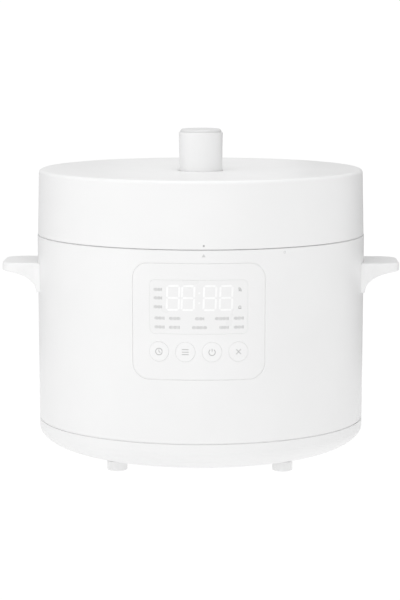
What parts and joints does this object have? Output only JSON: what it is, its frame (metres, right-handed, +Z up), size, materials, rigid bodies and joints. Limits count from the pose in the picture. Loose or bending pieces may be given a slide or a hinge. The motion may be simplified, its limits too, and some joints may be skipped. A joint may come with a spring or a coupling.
{
  "type": "electric pressure cooker",
  "caption": "Drum-shaped electric pressure cooker with a locking lid, centre knob, lift-out pot, front display panel with four push buttons and two side handles.",
  "frame": {"origin": "on the floor under the centre of the body", "axes": "+Z up, the control panel faces -Y, the handles point along +X and -X"},
  "size_m": [0.3512, 0.29, 0.2929],
  "materials": {
    "body_white": "satin white moulded plastic",
    "lid_white": "satin white moulded plastic",
    "cap_white": "satin off-white moulded plastic",
    "handle_white": "satin white moulded plastic",
    "panel_white": "smooth satin white plastic",
    "button_white": "satin white plastic",
    "window_white": "smooth white window film",
    "display_white": "lit white segments",
    "foot_rubber": "pale grey rubber",
    "inner_plastic": "pale heat-resistant plastic",
    "cup_clear": "frosted translucent plastic",
    "aluminium": "turned aluminium",
    "stainless": "brushed stainless steel",
    "zinc_steel": "zinc-coated sheet steel",
    "screw_steel": "plated steel",
    "pot_coating": "dark non-stick coating on aluminium",
    "silicone": "translucent white silicone",
    "board_green": "circuit board",
    "black_plastic": "black moulded plastic",
    "relay_blue": "blue component case",
    "brass": "plated brass"
  },
  "bodies": {
    "base": {"outer_shell": "body_white", "base_ring": "body_white", "bottom_cover": "zinc_steel", "foot_front_left": "foot_rubber", "foot_front_right": "foot_rubber", "foot_rear_right": "foot_rubber", "foot_rear_left": "foot_rubber", "base_screw_1": "screw_steel", "base_screw_2": "screw_steel", "base_screw_3": "screw_steel", "base_screw_4": "screw_steel", "handle_right": "handle_white", "handle_left": "handle_white", "rim_ring": "inner_plastic", "cup_holder": "inner_plastic", "outer_pot": "aluminium", "heat_shield": "zinc_steel", "heating_plate": "aluminium", "heating_element": "zinc_steel", "sensor_holder": "zinc_steel", "sensor_spring": "screw_steel", "thermal_fuse": "brass", "pressure_switch": "black_plastic", "power_board": "board_green", "transformer": "black_plastic", "power_relay": "relay_blue", "power_inlet": "black_plastic", "inlet_pin_line": "brass", "inlet_pin_neutral": "brass", "inlet_pin_earth": "brass", "reed_switch": "black_plastic", "control_panel": "panel_white", "display_lens": "window_white", "display_module": "display_white", "control_board": "board_green"},
    "pot": {"inner_pot": "pot_coating"},
    "seal": {"sealing_ring": "silicone"},
    "lid": {"lid_cover": "lid_white", "lid_knob": "lid_white", "release_spring": "screw_steel", "pressure_lid": "stainless", "lid_liner": "inner_plastic", "seal_carrier": "stainless", "vent_pipe": "stainless", "anti_block_cap": "stainless", "lid_magnet": "zinc_steel", "lid_screw_1": "screw_steel", "lid_screw_2": "screw_steel", "lid_screw_3": "screw_steel"},
    "release": {"release_button": "cap_white", "release_stem": "stainless"},
    "limit_valve": {"valve_weight": "stainless"},
    "float": {"float_valve": "aluminium", "float_seal": "silicone"},
    "sensor": {"sensor_cap": "aluminium"},
    "cup": {"condensate_cup": "cup_clear"},
    "key_timer": {"button_timer": "button_white"},
    "key_menu": {"button_menu": "button_white"},
    "key_start": {"button_start": "button_white"},
    "key_cancel": {"button_cancel": "button_white"}
  },
  "joints": [
    {"name": "pot_lift", "type": "slide", "parent": "base", "child": "pot", "axis": [0, 0, 1], "range_m": [0, 0.17]},
    {"name": "lid_lift", "type": "slide", "parent": "pot", "child": "seal", "axis": [0, 0, 1], "range_m": [0, 0.15]},
    {"name": "lid_turn", "type": "hinge", "parent": "seal", "child": "lid", "pos_m": [0, 0, 0.2], "axis": [0, 0, 1], "range_deg": [0, 28]},
    {"name": "release_press", "type": "slide", "parent": "lid", "child": "release", "axis": [0, 0, -1], "range_m": [0, 0.004], "stiffness_N_per_m": 600, "springref_m": -0.006, "deforming": ["release_spring"]},
    {"name": "limit_valve_lift", "type": "slide", "parent": "lid", "child": "limit_valve", "axis": [0, 0, 1], "range_m": [0, 0.003]},
    {"name": "float_rise", "type": "slide", "parent": "lid", "child": "float", "axis": [0, 0, 1], "range_m": [0, 0.0045]},
    {"name": "sensor_press", "type": "slide", "parent": "base", "child": "sensor", "axis": [0, 0, -1], "range_m": [0, 0.002], "stiffness_N_per_m": 800, "springref_m": -0.004, "deforming": ["sensor_spring"]},
    {"name": "cup_pull", "type": "slide", "parent": "base", "child": "cup", "axis": [0, 1, 0], "range_m": [0, 0.06]},
    {"name": "timer_press", "type": "slide", "parent": "base", "child": "key_timer", "axis": [0.2284, 0.9736, 0], "range_m": [0, 0.0008], "stiffness_N_per_m": 1500, "springref_m": -0.001},
    {"name": "menu_press", "type": "slide", "parent": "base", "child": "key_menu", "axis": [0.0776, 0.997, 0], "range_m": [0, 0.0008], "stiffness_N_per_m": 1500, "springref_m": -0.001},
    {"name": "start_press", "type": "slide", "parent": "base", "child": "key_start", "axis": [-0.0776, 0.997, 0], "range_m": [0, 0.0008], "stiffness_N_per_m": 1500, "springref_m": -0.001},
    {"name": "cancel_press", "type": "slide", "parent": "base", "child": "key_cancel", "axis": [-0.2284, 0.9736, 0], "range_m": [0, 0.0008], "stiffness_N_per_m": 1500, "springref_m": -0.001}
  ]
}
